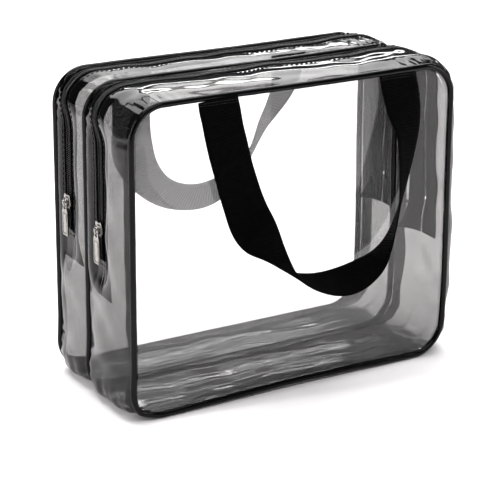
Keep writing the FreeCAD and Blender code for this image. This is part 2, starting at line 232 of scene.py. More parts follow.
class Shader:
    """A material in the making: its tree and the node patterns that the finishes repeat."""

    def __init__(self, name: str) -> None:
        """Start an empty material."""
        self.material = bpy.data.materials.new(name)
        self.material.use_nodes = True
        self.tree = self.material.node_tree
        self.tree.nodes.clear()

    def place(self, kind: str = "Object") -> bpy.types.NodeSocket:
        """Give the piece's own coordinates or its UV map."""
        return add_node(self.tree, "ShaderNodeTexCoord").outputs[kind]

    def cloud(self, place: bpy.types.NodeSocket, span: float, detail: float,
              **more: float) -> bpy.types.NodeSocket:
        """Give soft noise with a span in millimetres."""
        return add_node(self.tree, "ShaderNodeTexNoise",
                        {"Scale": 1.0 / (span * MM), "Detail": detail, **more},
                        {"Vector": place}).outputs["Fac"]

    def shade(self, one: tuple[float, ...], other: tuple[float, ...],
              share: bpy.types.NodeSocket) -> bpy.types.NodeSocket:
        """Mix two linear colours."""
        return add_node(self.tree, "ShaderNodeMix", {"data_type": "RGBA", 6: one, 7: other},
                        {0: share}).outputs[2]

    def spread(self, value: bpy.types.NodeSocket, **ends: float) -> bpy.types.NodeSocket:
        """Map a value from one range to another."""
        return add_node(self.tree, "ShaderNodeMapRange",
                        {word.replace("_", " "): end for word, end in ends.items()},
                        {"Value": value}).outputs[0]

    def relief(self, height: bpy.types.NodeSocket, depth: float,
               strength: float = 1.0) -> bpy.types.NodeSocket:
        """Give the normal of a relief with a depth in millimetres."""
        return add_node(self.tree, "ShaderNodeBump",
                        {"Strength": strength, "Distance": depth * MM},
                        {"Height": height}).outputs["Normal"]

    def slant(self, power: float, **links: bpy.types.NodeSocket) -> bpy.types.NodeSocket:
        """Give a value that rises to 1 where the surface is seen edge-on."""
        weight = add_node(self.tree, "ShaderNodeLayerWeight", {"Blend": 0.5}, links)
        return maths(self.tree, "POWER", weight.outputs["Facing"], power)

    def close(self, kind: str, settings: dict, links: dict) -> bpy.types.Material:
        """End the tree in one last shader and give the material."""
        last = add_node(self.tree, kind, settings, links)
        add_node(self.tree, "ShaderNodeOutputMaterial", {}, {"Surface": last.outputs[0]})
        return self.material


@dataclass(frozen=True)
class PvcSheet:
    """Calendered flexible PVC sheet, seen through.

    A polished clear film: the eye gets streaks of light on its waves, and a faint veil.
    """
    name: str
    tint: str               # colour that one sheet passes
    veil: float             # share of light that the sheet scatters
    gloss: float            # strength of its reflections
    roughness: float
    wave: float = 0.35      # height of the film's slow waves, mm
    wave_span: float = 38.0     # their span, mm
    slant: float = 1.0      # share of light that is left where the sheet is seen edge-on

    def build(self) -> bpy.types.Material:
        """Make the material."""
        shader = Shader(self.name)
        tree, tint = shader.tree, linear(self.tint)
        edge_on = tuple(c * self.slant for c in tint[:3]) + (1.0,)
        film = shader.cloud(shader.place(), self.wave_span, 1.5, Roughness=0.45)
        relief = shader.relief(film, self.wave)
        clear = add_node(tree, "ShaderNodeBsdfTransparent", {},
                         {"Color": shader.shade(tint, edge_on, shader.slant(3.0))})
        haze = add_node(tree, "ShaderNodeBsdfDiffuse", {"Color": linear("F4F4F4")})
        body = add_node(tree, "ShaderNodeMixShader", {0: self.veil},
                        {1: clear.outputs[0], 2: haze.outputs[0]})
        shine = add_node(tree, "ShaderNodeBsdfGlossy",
                         {"Color": linear("FFFFFF"), "Roughness": self.roughness},
                         {"Normal": relief})
        share = maths(tree, "MULTIPLY_ADD", shader.slant(5.0, Normal=relief),
                      0.9 * self.gloss, 0.05 * self.gloss)
        return shader.close("ShaderNodeMixShader", {},
                            {0: share, 1: body.outputs[0], 2: shine.outputs[0]})


@dataclass(frozen=True)
class MouldedPvc:
    """Extruded black PVC piping: a smooth wet-looking bead with thin lines of light."""
    name: str = "extruded_pvc_piping"
    colour: str = "050505"
    worn: str = "0B0B0C"
    roughness: float = 0.12

    def build(self) -> bpy.types.Material:
        """Make the material."""
        shader = Shader(self.name)
        cloud = shader.cloud(shader.place(), 14.0, 3.0)
        ripple = shader.cloud(shader.place(), 5.0, 1.0)
        scuff = shader.spread(cloud, To_Min=self.roughness * 0.7, To_Max=self.roughness * 1.6)
        shade = shader.shade(linear(self.colour), linear(self.worn), cloud)
        return shader.close(
            "ShaderNodeBsdfPrincipled", {"IOR": 1.3},
            {"Base Color": shade, "Roughness": scuff, "Normal": shader.relief(ripple, 0.05)})


@dataclass(frozen=True)
class Woven:
    """Dyed polyester cloth: matt black with a fine crossing of threads; the raised threads are
    painted a lighter colour, a painted highlight.
    """
    name: str
    colour: str
    # light: lighter colour painted on the raised threads, a painted highlight
    light: str
    thread: float               # thread spacing, mm
    depth: float                # thread height, mm
    roughness: float = 0.78
    on_cloth: bool = False      # whether the weave follows the piece's own UV map, in metres

    def build(self) -> bpy.types.Material:
        """Make the material."""
        shader = Shader(self.name)
        tree, place = shader.tree, shader.place("UV" if self.on_cloth else "Object")
        split = add_node(tree, "ShaderNodeSeparateXYZ", {}, {0: place})
        weave = None
        for axis in "XY" if self.on_cloth else "XYZ":
            angle = maths(tree, "MULTIPLY", split.outputs[axis], TAU / (self.thread * MM))
            wave = maths(tree, "SINE", angle)
            weave = maths(tree, "ADD", weave, wave) if weave else wave
        tone = shader.spread(weave, From_Min=-1.5, From_Max=1.5)
        share = maths(tree, "MULTIPLY", tone, shader.cloud(place, 6.0, 4.0))
        # Where the weave's relief rises, the colour turns to the light one: a painted highlight on
        # the threads.
        shade = shader.shade(linear(self.colour), linear(self.light), share)
        return shader.close(
            "ShaderNodeBsdfPrincipled", {"Roughness": self.roughness, "IOR": 1.12},
            {"Base Color": shade, "Normal": shader.relief(tone, self.depth, 0.8)})


@dataclass(frozen=True)
class Nylon:
    """Drawn nylon filament, as in a coil zip or sewing thread: black with small sharp glints, from
    its gloss and from a lighter colour painted on its raised specks, a painted highlight.
    """
    name: str
    colour: str = "070708"
    # light: lighter colour painted where the relief rises, a painted highlight
    light: str = "141415"
    roughness: float = 0.24

    def build(self) -> bpy.types.Material:
        """Make the material."""
        shader = Shader(self.name)
        cloud = shader.cloud(shader.place(), 2.5, 2.0)
        # Lighter where the relief rises: a painted highlight.
        shade = shader.shade(linear(self.colour), linear(self.light), cloud)
        return shader.close(
            "ShaderNodeBsdfPrincipled", {"Roughness": self.roughness, "IOR": 1.4},
            {"Base Color": shade, "Normal": shader.relief(cloud, 0.04, 0.6)})


@dataclass(frozen=True)
class PlatedZinc:
    """Bright nickel plate over die-cast zinc: mirror-like with soft tumbled edges."""
    name: str = "nickel_plated_zinc"
    colour: str = "B4B2AD"
    dull: str = "5E5C59"

    def build(self) -> bpy.types.Material:
        """Make the material."""
        shader = Shader(self.name)
        cloud = shader.cloud(shader.place(), 1.8, 4.0)
        return shader.close(
            "ShaderNodeBsdfPrincipled", {"Metallic": 1.0},
            {"Base Color": shader.shade(linear(self.colour), linear(self.dull), cloud),
             "Roughness": shader.spread(cloud, To_Min=0.14, To_Max=0.34),
             "Normal": shader.relief(cloud, 0.03, 0.5)})


class Slot(Enum):
    """The record's material slots."""
    CLEAR = "clear_pvc"
    SMOKE = "smoke_pvc"
    PIPING = "piping_pvc"
    BINDING = "seam_binding"
    TAPE = "zip_tape"
    COIL = "zip_coil"
    METAL = "nickel_plate"
    WEBBING = "webbing"


class Palette:
    """The finishes of the bag, one material for each."""

    def __init__(self) -> None:
        """Make every material once."""
        self.clear = PvcSheet("clear_pvc_sheet", "FFFFFF", 0.006, 0.6, 0.02).build()
        self.lining = PvcSheet("clear_pvc_back_sheet", "FFFFFF", 0.085, 0.4, 0.04).build()
        self.smoke = PvcSheet("smoke_pvc_sheet", "7E7E7D", 0.001, 0.75, 0.08, 0.3, 55.0,
                              0.12).build()
        self.binding = PvcSheet("folded_smoke_pvc_binding", "4C4C4C", 0.004, 0.4, 0.08).build()
        self.piping = MouldedPvc().build()
        # The second colour of the tape, the webbing, the coil and the thread is a painted highlight
        # on their raised threads and specks.
        self.tape = Woven("knitted_polyester_tape", "020202", "050505", 0.9, 0.05).build()
        self.webbing = Woven("woven_polyester_webbing", "030303", "1A1A1C", 1.2, 0.25,
                             0.8, True).build()
        self.coil = Nylon("nylon_coil").build()
        self.thread = Nylon("bonded_nylon_thread", "0A0A0B", "1C1C1E", 0.25).build()
        self.metal = PlatedZinc().build()


def dress(piece: bpy.types.Object, material: bpy.types.Material) -> bpy.types.Object:
    """Give a piece one material."""
    piece.data.materials.clear()
    piece.data.materials.append(material)
    return piece


# --------------------------------------------------------------- soft shape

@dataclass
class Rim:
    """The rounded rectangle that every wall of the bag follows, seen from the front.

    Distance along it starts at the middle of the underside and goes left, up, over and down.
    """
    half_width: float = 135.0
    low: float = 2.4
    high: float = 234.4
    radius: float = 25.0

    def runs(self) -> list[float]:
        """Lengths of the straight runs and the corner arcs, in order."""
        flat, tall = self.half_width - self.radius, self.high - self.low - 2 * self.radius
        arc = math.pi / 2 * self.radius
        return [flat, arc, tall, arc, 2 * flat, arc, tall, arc, flat]

    @property
    def length(self) -> float:
        """Whole distance around."""
        return sum(self.runs())

    def left_at(self, height: float) -> float:
        """Distance along the rim of a height on the straight left side."""
        runs = self.runs()
        return runs[0] + runs[1] + height - self.low - self.radius

    def right_at(self, height: float) -> float:
        """Distance along the rim of a height on the straight right side."""
        return self.length - self.left_at(height)

    def corner_middles(self) -> list[float]:
        """Distances along the rim of the middles of the four corners."""
        starts = np.cumsum([0.0] + self.runs())
        return [float(starts[i] + starts[i + 1]) / 2 for i in (1, 3, 5, 7)]

    def outwards(self, s: np.ndarray) -> np.ndarray:
        """Give the outward direction at distances along the rim, one row for each."""
        _, _, out_x, out_z = self.walk(s)
        return np.stack([out_x, np.zeros_like(out_x), out_z], -1)

    def walk(self, s: np.ndarray) -> tuple[np.ndarray, np.ndarray, np.ndarray, np.ndarray]:
        """Follow the rim.

        Args:
            s: distances along it.
        Returns:
            X, Z, and the X and Z of the outward direction.
        """
        s = np.mod(np.asarray(s, float), self.length)
        runs = self.runs()
        starts = np.cumsum([0.0] + runs)
        flat, tall = self.half_width - self.radius, self.high - self.low - 2 * self.radius
        foot, head = self.low + self.radius, self.high - self.radius
        lines = {0: ((0.0, self.low), (-1, 0), (0, -1)),
                 2: ((-self.half_width, foot), (0, 1), (-1, 0)),
                 4: ((-flat, self.high), (1, 0), (0, 1)),
                 6: ((self.half_width, foot + tall), (0, -1), (1, 0)),
                 8: ((flat, self.low), (-1, 0), (0, -1))}
        arcs = {1: ((-flat, foot), -90.0), 3: ((-flat, head), 180.0),
                5: ((flat, head), 90.0), 7: ((flat, foot), 0.0)}
        x, z, out_x, out_z = (np.zeros_like(s) for _ in range(4))
        for i in range(len(runs)):
            here = (s >= starts[i]) & (s <= starts[i + 1])
            t = s[here] - starts[i]
            if i in lines:
                origin, way, out = lines[i]
                x[here], z[here] = origin[0] + way[0] * t, origin[1] + way[1] * t
                out_x[here], out_z[here] = out
            else:
                centre, begin = arcs[i]
                angle = math.radians(begin) - t / self.radius
                out_x[here], out_z[here] = np.cos(angle), np.sin(angle)
                x[here] = centre[0] + self.radius * out_x[here]
                z[here] = centre[1] + self.radius * out_z[here]
        return x, z, out_x, out_z


SLOW_WAVES = ((0.9, 77.0, 95.0, 0.8), (0.7, 46.0, -60.0, 2.1), (0.35, 27.0, 33.0, 4.0))
# Shares of the slow waves: everywhere, and what the underside and the sides add.
SLOW_SHARES = (0.18, 0.22, 0.6)


@dataclass
class SoftShape:
    """How the sheets of the filled-out bag swell, sag and crease. All pieces share it."""
    rim: Rim = field(default_factory=Rim)
    front_zip: float = -12.0
    back_zip: float = 39.5
    slot_half: float = 7.0
    side_swell: float = 6.0
    right_extra: float = 1.6
    top_swell: float = 4.2
    under_swell: float = 1.2
    crease: float = 0.9
    crease_span: float = 8.5
    crease_reach: float = 24.0
    # The wander: sway of the right side, wave of the faces, arch under the front, dip of the
    # top, bow of the right side, and poke of the lower left corner with its loss and slant.
    sway: float = 0.9
    face_wave: float = 1.1
    arch: float = 2.4
    dip: float = 1.0
    bow: float = 1.8
    poke: float = 4.6
    poke_loss: float = 1.4
    poke_slant: float = 0.7
    # The swell: a higher power gives a fuller curve. A lobe beside a zip is narrower than
    # the whole gusset, and the zip holds the left side between two heights.
    fullness: float = 2.6
    lobe_fullness: float = 2.4
    full_lobe: float = 40.0
    least_lobe: float = 0.25
    held_low: float = 82.0
    held_high: float = 196.0
    held_fade: float = 22.0
    held_calm: float = 0.9
    back_share: float = 0.75
    end_share: float = 0.55
    right_end_share: float = 0.2
    foot_swell: float = 10.0
    # Folds across the underside, finer ones between them, and faint ones on the top.
    fold: float = 1.0
    fine_fold: float = 0.55
    top_fold: float = 0.2
    edge_share: float = 0.4

    def drift(self, x: np.ndarray, y: np.ndarray, z: np.ndarray) -> np.ndarray:
        """Slow wander of the whole bag, so that no edge is ruler-straight.

        Args:
            x, y, z: place before the wander.
        Returns:
            Displacements, one row for each place.
        """
        # Numbers beside x, y and z are places, spans and wavelengths in millimetres.
        front = smooth_step((-y - 5.0) / 50.0)
        right = smooth_step((x + 60.0) / 120.0)
        sway = self.sway * right * np.sin(TAU * z / 230.0 + 0.6)
        wave = self.face_wave * np.sin(TAU * x / 330.0 + 0.7 + z / 150.0) * smooth_step(z / 60.0)
        wave = wave * smooth_step((x + 130.0) / 50.0)
        arch = self.arch * front * bump_at(x, 5.0, 80.0) * bump_at(z, 0.0, 45.0)
        dip = self.dip * bump_at(x, 10.0, 70.0) * smooth_step((z - 150.0) / 80.0)
        belly = smooth_step((x - 60.0) / 60.0) * np.sin(math.pi * np.clip(z / 234.0, 0, 1))
        corner = bump_at(x, -128.0, 18.0) * bump_at(z, 9.7, 18.0)
        from_middle = np.clip(np.abs(y - BEADS[1]) / 60.0, 0, 1)
        poke = self.poke_slant * ((self.poke - self.poke_loss * from_middle) * corner)
        lift = np.clip((z - self.rim.low) / 7.0, 0, 1)
        return np.stack([sway + self.bow * belly - poke, wave, arch - dip - poke * lift], -1)

    def swell(self, s: np.ndarray, y: np.ndarray) -> np.ndarray:
        """Distance that the gusset stands out from the rim.

        Args:
            s: distances along the rim.
            y: places from front to back.
        Returns:
            Distances in millimetres, outwards.
        """
        x, z, out_x, out_z = self.rim.walk(s)
        left, right = np.clip(-out_x, 0, 1), np.clip(out_x, 0, 1)
        side, top, under = np.abs(out_x), np.clip(out_z, 0, 1), np.clip(-out_z, 0, 1)
        in_front = y < BEADS[1]
        near = np.where(in_front, BEADS[0], BEADS[1])
        far = np.where(in_front, BEADS[1], BEADS[2])
        t = np.clip((y - near) / (far - near), 0.0, 1.0)
        whole = 1.0 - np.abs(2.0 * t - 1.0) ** (self.fullness + self.fullness * right)
        zip_y = np.where(in_front, self.front_zip, self.back_zip)
        low_edge, high_edge = zip_y - self.slot_half, zip_y + self.slot_half
        start = np.where(y < zip_y, near, high_edge)
        width = np.where(y < zip_y, low_edge, far) - start
        across = np.clip((y - start) / width, 0.0, 1.0)
        lobe = 1.0 - np.abs(2.0 * across - 1.0) ** self.lobe_fullness
        lobe = np.where((y > low_edge) & (y < high_edge), 0.0, lobe)
        lobe = lobe * np.clip(width / self.full_lobe, self.least_lobe, 1.0)
        held = left * smooth_step((z - self.held_low) / self.held_fade) \
            * (1.0 - smooth_step((z - self.held_high) / self.held_fade))
        profile = held * lobe + (1.0 - held) * whole
        base = self.end_share + self.right_end_share * right
        waist = base + (1.0 - base) * np.sin(math.pi * np.clip(z / 232.0, 0, 1))
        sides = self.side_swell * side * (1.0 + self.right_extra * right) * waist
        foot = self.foot_swell * side * under
        amount = (sides + foot + self.top_swell * top + self.under_swell * under) \
            * np.where(in_front, 1.0, self.back_share)
        everywhere, below, beside = SLOW_SHARES
        slow = waves(SLOW_WAVES, s, y) * (everywhere + below * under + beside * side)
        ridges = (under * (self.fold * np.sin(TAU * (y / 23.0 + 0.35 * np.sin(x / 75.0)))
                           + self.fine_fold * np.sin(TAU * (y / 12.0 + x / 210.0)))
                  + top * self.top_fold * np.sin(TAU * (y / 19.0 + 0.4 * np.sin(x / 66.0))))
        edge = np.minimum(np.abs(y - near), np.abs(far - y))
        loose = smooth_step(edge / 9.0)
        hem = np.exp(-(edge / 15.0) ** 2) * smooth_step(edge / 3.0)
        crumple = np.zeros_like(s)
        for number, middle in enumerate(self.rim.corner_middles()):
            near_corner = bump_at(s, middle, self.crease_reach)
            crumple += near_corner * np.sin(TAU * (s - middle) / self.crease_span
                                            + y / 9.0 + number)
        quiet = 1.0 - self.held_calm * held * (1.0 - lobe.clip(0, 1))
        shown = self.edge_share + (1.0 - self.edge_share) * profile
        return (amount * profile + (slow * shown * loose + ridges * loose) * quiet
                + self.crease * crumple * hem)

    def skin(self, s: np.ndarray, y: np.ndarray, inset: float | np.ndarray = 0.0) -> np.ndarray:
        """Give points of the gusset wall.

        Args:
            s: distances along the rim.
            y: places from front to back.
            inset: depth below the wall's own surface.
        Returns:
            Points in millimetres with the shape of s.
        """
        s, y = np.broadcast_arrays(np.asarray(s, float), np.asarray(y, float))
        x, z, out_x, out_z = self.rim.walk(s)
        out = self.swell(s, y) - inset
        side = np.abs(out_x)
        room = smooth_step(np.minimum(np.minimum(np.abs(y - BEADS[0]), np.abs(y - BEADS[1])),
                                      np.abs(y - BEADS[2])) / 14.0)
        zip_side = side * smooth_step((z - 80.0) / 20.0) * (1.0 - smooth_step((z - 200.0) / 25.0))
        sway = (1.9 * np.sin(TAU * s / 118.0 + 1.2) + 0.9 * np.sin(TAU * s / 47.0)) * room
        sway = sway * (1.0 - zip_side)
        px, py, pz = x + out_x * out, y + sway, z + out_z * out
        points = np.stack([px, py, pz], -1) + self.drift(px, py, pz)
        points[..., 2] = np.maximum(points[..., 2], 0.25)
        return points

    def bead_line(self, s: np.ndarray, y: float) -> np.ndarray:
        """Give the centre line of a piping bead at a place in Y."""
        x, z, _, _ = self.rim.walk(s)
        level = np.full_like(x, y)
        return np.stack([x, level, z], -1) + self.drift(x, level, z)

    def flat_sheet(self, x: np.ndarray, z: np.ndarray, y: float, sag: float) -> np.ndarray:
        """Give points of a flat panel, with its slow waves.

        Args:
            x, z: places in the panel.
            y: place of the panel.
            sag: how far its middle moves along Y.
        Returns:
            Points in millimetres.
        """
        edge = np.minimum(self.rim.half_width - np.abs(x),
                          np.minimum(z - self.rim.low, self.rim.high - z))
        free = smooth_step(edge / 30.0)
        wave = waves(((0.35, 140.0, 90.0, y), (0.30, 75.0, -160.0, 2.0 * y),
                      (0.15, 42.0, 55.0, y)), x, z)
        middle = np.cos(math.pi * x / 290.0) * np.sin(math.pi * np.clip(z / 237.0, 0, 1))
        move = sag * middle + wave
        points = np.stack([x, y + free * move, z], -1)
        return points + self.drift(x, np.full_like(x, y), z)


SHAPE = SoftShape()


# --------------------------------------------------------- geometry node trees

class NodeTool:
    """A Geometry Nodes tree with named inputs, put on a piece and turned into a mesh."""

    def __init__(self, name: str, inputs: dict[str, str]) -> None:
        """Start the tree with its geometry sockets and the named inputs."""
        self.tree = bpy.data.node_groups.new(name, "GeometryNodeTree")
        face = self.tree.interface
        face.new_socket("Geometry", in_out="INPUT", socket_type="NodeSocketGeometry")
        self.keys = {word: face.new_socket(word, in_out="INPUT", socket_type=kind).identifier
                     for word, kind in inputs.items()}
        face.new_socket("Geometry", in_out="OUTPUT", socket_type="NodeSocketGeometry")
        self.source = add_node(self.tree, "NodeGroupInput")

    def close(self, geometry: bpy.types.NodeSocket) -> None:
        """End the tree in Realize Instances and Set Material."""
        real = add_node(self.tree, "GeometryNodeRealizeInstances", {}, {0: geometry})
        cover = add_node(self.tree, "GeometryNodeSetMaterial", {},
                         {"Geometry": real.outputs[0],
                          "Material": self.source.outputs["Material"]})
        add_node(self.tree, "NodeGroupOutput", {}, {0: cover.outputs[0]})

    def run(self, piece: bpy.types.Object, values: dict[str, object]) -> bpy.types.Object:
        """Put the tree on a piece, set its inputs, and keep the result as a plain mesh."""
        modifier = piece.modifiers.new("nodes", "NODES")
        modifier.node_group = self.tree
        for word, setting in values.items():
            modifier[self.keys[word]] = setting
        return settle_mesh(piece)


class RowTool(NodeTool):
    """Set copies of a small shape along lines, turned to the line and its outward direction."""

    def __init__(self) -> None:
        """Build the tree."""
        super().__init__("row_along_line", {
            "Spacing": "NodeSocketFloat", "Shape": "NodeSocketObject",
            "Spread": "NodeSocketFloat", "Seed": "NodeSocketInt",
            "Material": "NodeSocketMaterial"})
        tree, source = self.tree, self.source
        line = add_node(tree, "GeometryNodeMeshToCurve", {}, {0: source.outputs["Geometry"]})
        steps = add_node(tree, "GeometryNodeResampleCurve", {"mode": "LENGTH"},
                         {"Curve": line.outputs[0], "Length": source.outputs["Spacing"]})
        way = add_node(tree, "GeometryNodeInputTangent")
        out = add_node(tree, "GeometryNodeInputNamedAttribute",
                       {"data_type": "FLOAT_VECTOR", "Name": "outwards"})
        first = add_node(tree, "FunctionNodeAlignRotationToVector", {"axis": "X"},
                         {"Vector": way.outputs[0]})
        second = add_node(tree, "FunctionNodeAlignRotationToVector",
                          {"axis": "Z", "pivot_axis": "X"},
                          {"Rotation": first.outputs[0], "Vector": out.outputs[0]})
        shape = add_node(tree, "GeometryNodeObjectInfo", {}, {"Object": source.outputs["Shape"]})
        size = add_node(tree, "FunctionNodeRandomValue", {"data_type": "FLOAT"},
                        {2: maths(tree, "SUBTRACT", 1.0, source.outputs["Spread"]),
                         3: maths(tree, "ADD", 1.0, source.outputs["Spread"]),
                         "Seed": source.outputs["Seed"]})
        copies = add_node(tree, "GeometryNodeInstanceOnPoints", {},
                          {"Points": steps.outputs[0], "Instance": shape.outputs["Geometry"],
                           "Rotation": second.outputs[0], "Scale": size.outputs[1]})
        self.close(copies.outputs[0])


class RibTool(NodeTool):
    """Raise crosswise ribs on webbing, along its own UV map in metres."""

    def __init__(self) -> None:
        """Build the tree."""
        super().__init__("webbing_ribs", {
            "Pitch": "NodeSocketFloat", "Height": "NodeSocketFloat",
            "Strand": "NodeSocketFloat", "Material": "NodeSocketMaterial"})
        tree, source = self.tree, self.source
        place = add_node(tree, "GeometryNodeInputNamedAttribute",
                         {"data_type": "FLOAT_VECTOR", "Name": "cloth"})
        split = add_node(tree, "ShaderNodeSeparateXYZ", {}, {0: place.outputs[0]})
        ribs, strands = [
            maths(tree, "SINE", maths(tree, "MULTIPLY", maths(
                tree, "DIVIDE", split.outputs[axis], source.outputs[span]), TAU))
            for axis, span in (("X", "Pitch"), ("Y", "Strand"))]
        weave = maths(tree, "MULTIPLY_ADD", strands, 0.3, ribs)
        inside = maths(tree, "MULTIPLY", maths(tree, "MULTIPLY", weave, source.outputs["Height"]),
                       split.outputs["Z"])
        facing = add_node(tree, "GeometryNodeInputNormal")
        move = add_node(tree, "ShaderNodeVectorMath", {"operation": "SCALE"},
                        {0: facing.outputs[0], "Scale": inside})
        ribbed = add_node(tree, "GeometryNodeSetPosition", {},
                          {"Geometry": source.outputs["Geometry"], "Offset": move.outputs[0]})
        self.close(ribbed.outputs[0])


def line_object(name: str, lines: list[np.ndarray], outwards: list[np.ndarray]) -> bpy.types.Object:
    """Make a mesh of loose lines that carries an outward direction at each point.

    Args:
        name: piece name.
        lines: points of each line in millimetres.
        outwards: outward direction at each point.
    Returns:
        The object.
    """
    edges, start = [], 0
    for line in lines:
        edges += [(start + i, start + i + 1) for i in range(len(line) - 1)]
        start += len(line)
    piece = mesh_object(name, np.concatenate(lines), [], edges)
    layer = piece.data.attributes.new("outwards", "FLOAT_VECTOR", "POINT")
    layer.data.foreach_set("vector", np.concatenate(outwards).astype(np.float32).ravel())
    return piece


def capsule(name: str, length: float, radius: float, sides: int = 6) -> bpy.types.Object:
    """Make a small rounded bar along X, for stitches and teeth."""
    stations = ((-0.5, 0.25), (-0.38, 0.8), (-0.15, 1.0), (0.15, 1.0), (0.38, 0.8), (0.5, 0.25))
    points = [(a * length, radius * r * math.cos(TAU * k / sides),
               radius * r * math.sin(TAU * k / sides))
              for a, r in stations for k in range(sides)]
    return mesh_object(name, np.array(points), tube_faces(len(stations), sides))


def row_piece(name: str, lines: list[tuple[np.ndarray, np.ndarray]], shape: bpy.types.Object,
              tool: RowTool, spacing: float, spread: float, seed: int,
              material: bpy.types.Material) -> bpy.types.Object:
    """Set copies of a small shape along lines and dress them.

    Args:
        name: piece name.
        lines: points and outward directions of each line.
        shape: what is copied; it is used up.
        tool: tree that sets the copies.
        spacing: distance between copies in millimetres.
        spread: how far their sizes differ, as a share.
        seed: seed of those sizes.
        material: finish of the copies.
    Returns:
        The dressed piece.
    """
    piece = line_object(name, [line for line, _ in lines], [out for _, out in lines])
    tool.run(piece, {"Spacing": spacing * MM, "Shape": shape, "Spread": spread, "Seed": seed,
                     "Material": material})
    bpy.data.objects.remove(shape)
    return dress(piece, material)


# ---------------------------------------------------------------- sub-assemblies

@dataclass
class Fold:
    """How a compartment's soft side bends from the bag to its flap."""
    flap: str
    start: tuple[float, float, float]
    end: tuple[float, float, float]

    def hang(self, piece: bpy.types.Object) -> bpy.types.Object:
        """Write the piece's placing into its mesh; it is not bent."""
        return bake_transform(piece)


@dataclass
class Piping:
    """One closed piping bead around the bag."""
    name: str
    y: float
    radius: float = BEAD_RADIUS
    steps: int = 400
    sides: int = 14

    def build(self, palette: Palette) -> bpy.types.Object:
        """Sweep the bead around the rim and dress it."""
        s = np.linspace(0.0, SHAPE.rim.length, self.steps, endpoint=False)
        centre = SHAPE.bead_line(s, self.y)
        out = SHAPE.rim.outwards(s)
        across = np.array([0.0, 1.0, 0.0])
        turn = np.arange(self.sides) * TAU / self.sides
        width = self.radius * (1.0 + 0.03 * np.sin(TAU * s / 61.0) * np.sin(TAU * s / 23.0))
        ring = (centre[:, None, :] + width[:, None, None]
                * (np.cos(turn)[None, :, None] * out[:, None, :]
                   + np.sin(turn)[None, :, None] * across))
        ring[..., 2] = np.maximum(ring[..., 2], 0.0)
        piece = mesh_object(self.name, ring, grid_faces(self.steps, self.sides, True, True))
        return dress(piece, palette.piping)


@dataclass
class Panel:
    """One flat PVC panel inside its piping."""
    name: str
    y: float
    sag: float
    thickness: float = 0.8
    rows: int = 60
    columns: int = 64

    def build(self, material: bpy.types.Material) -> bpy.types.Object:
        """Lay the panel out in rows that follow the rounded corners, and give it its thickness."""
        rim = SHAPE.rim
        inner, half = rim.radius - BEAD_RADIUS, rim.half_width - BEAD_RADIUS
        low, high = rim.low + BEAD_RADIUS, rim.high - BEAD_RADIUS
        turn = np.linspace(0.0, math.pi / 2, 10)
        foot = low + inner * (1.0 - np.cos(turn))
        z = np.unique(np.concatenate([foot, np.linspace(low + inner, high - inner, self.rows - 20),
                                      low + high - foot]).round(4))
        edge = np.minimum(z - low, high - z).clip(0.0, inner)
        reach = half - inner + np.sqrt(np.maximum(inner ** 2 - (inner - edge) ** 2, 0.0))
        across = np.linspace(-1.0, 1.0, self.columns)
        x = reach[:, None] * across[None, :]
        points = SHAPE.flat_sheet(x, np.broadcast_to(z[:, None], x.shape), self.y, self.sag)
        sheet = mesh_object(self.name, points, grid_faces(len(z), self.columns))
        return dress(thicken(sheet, self.thickness), material)


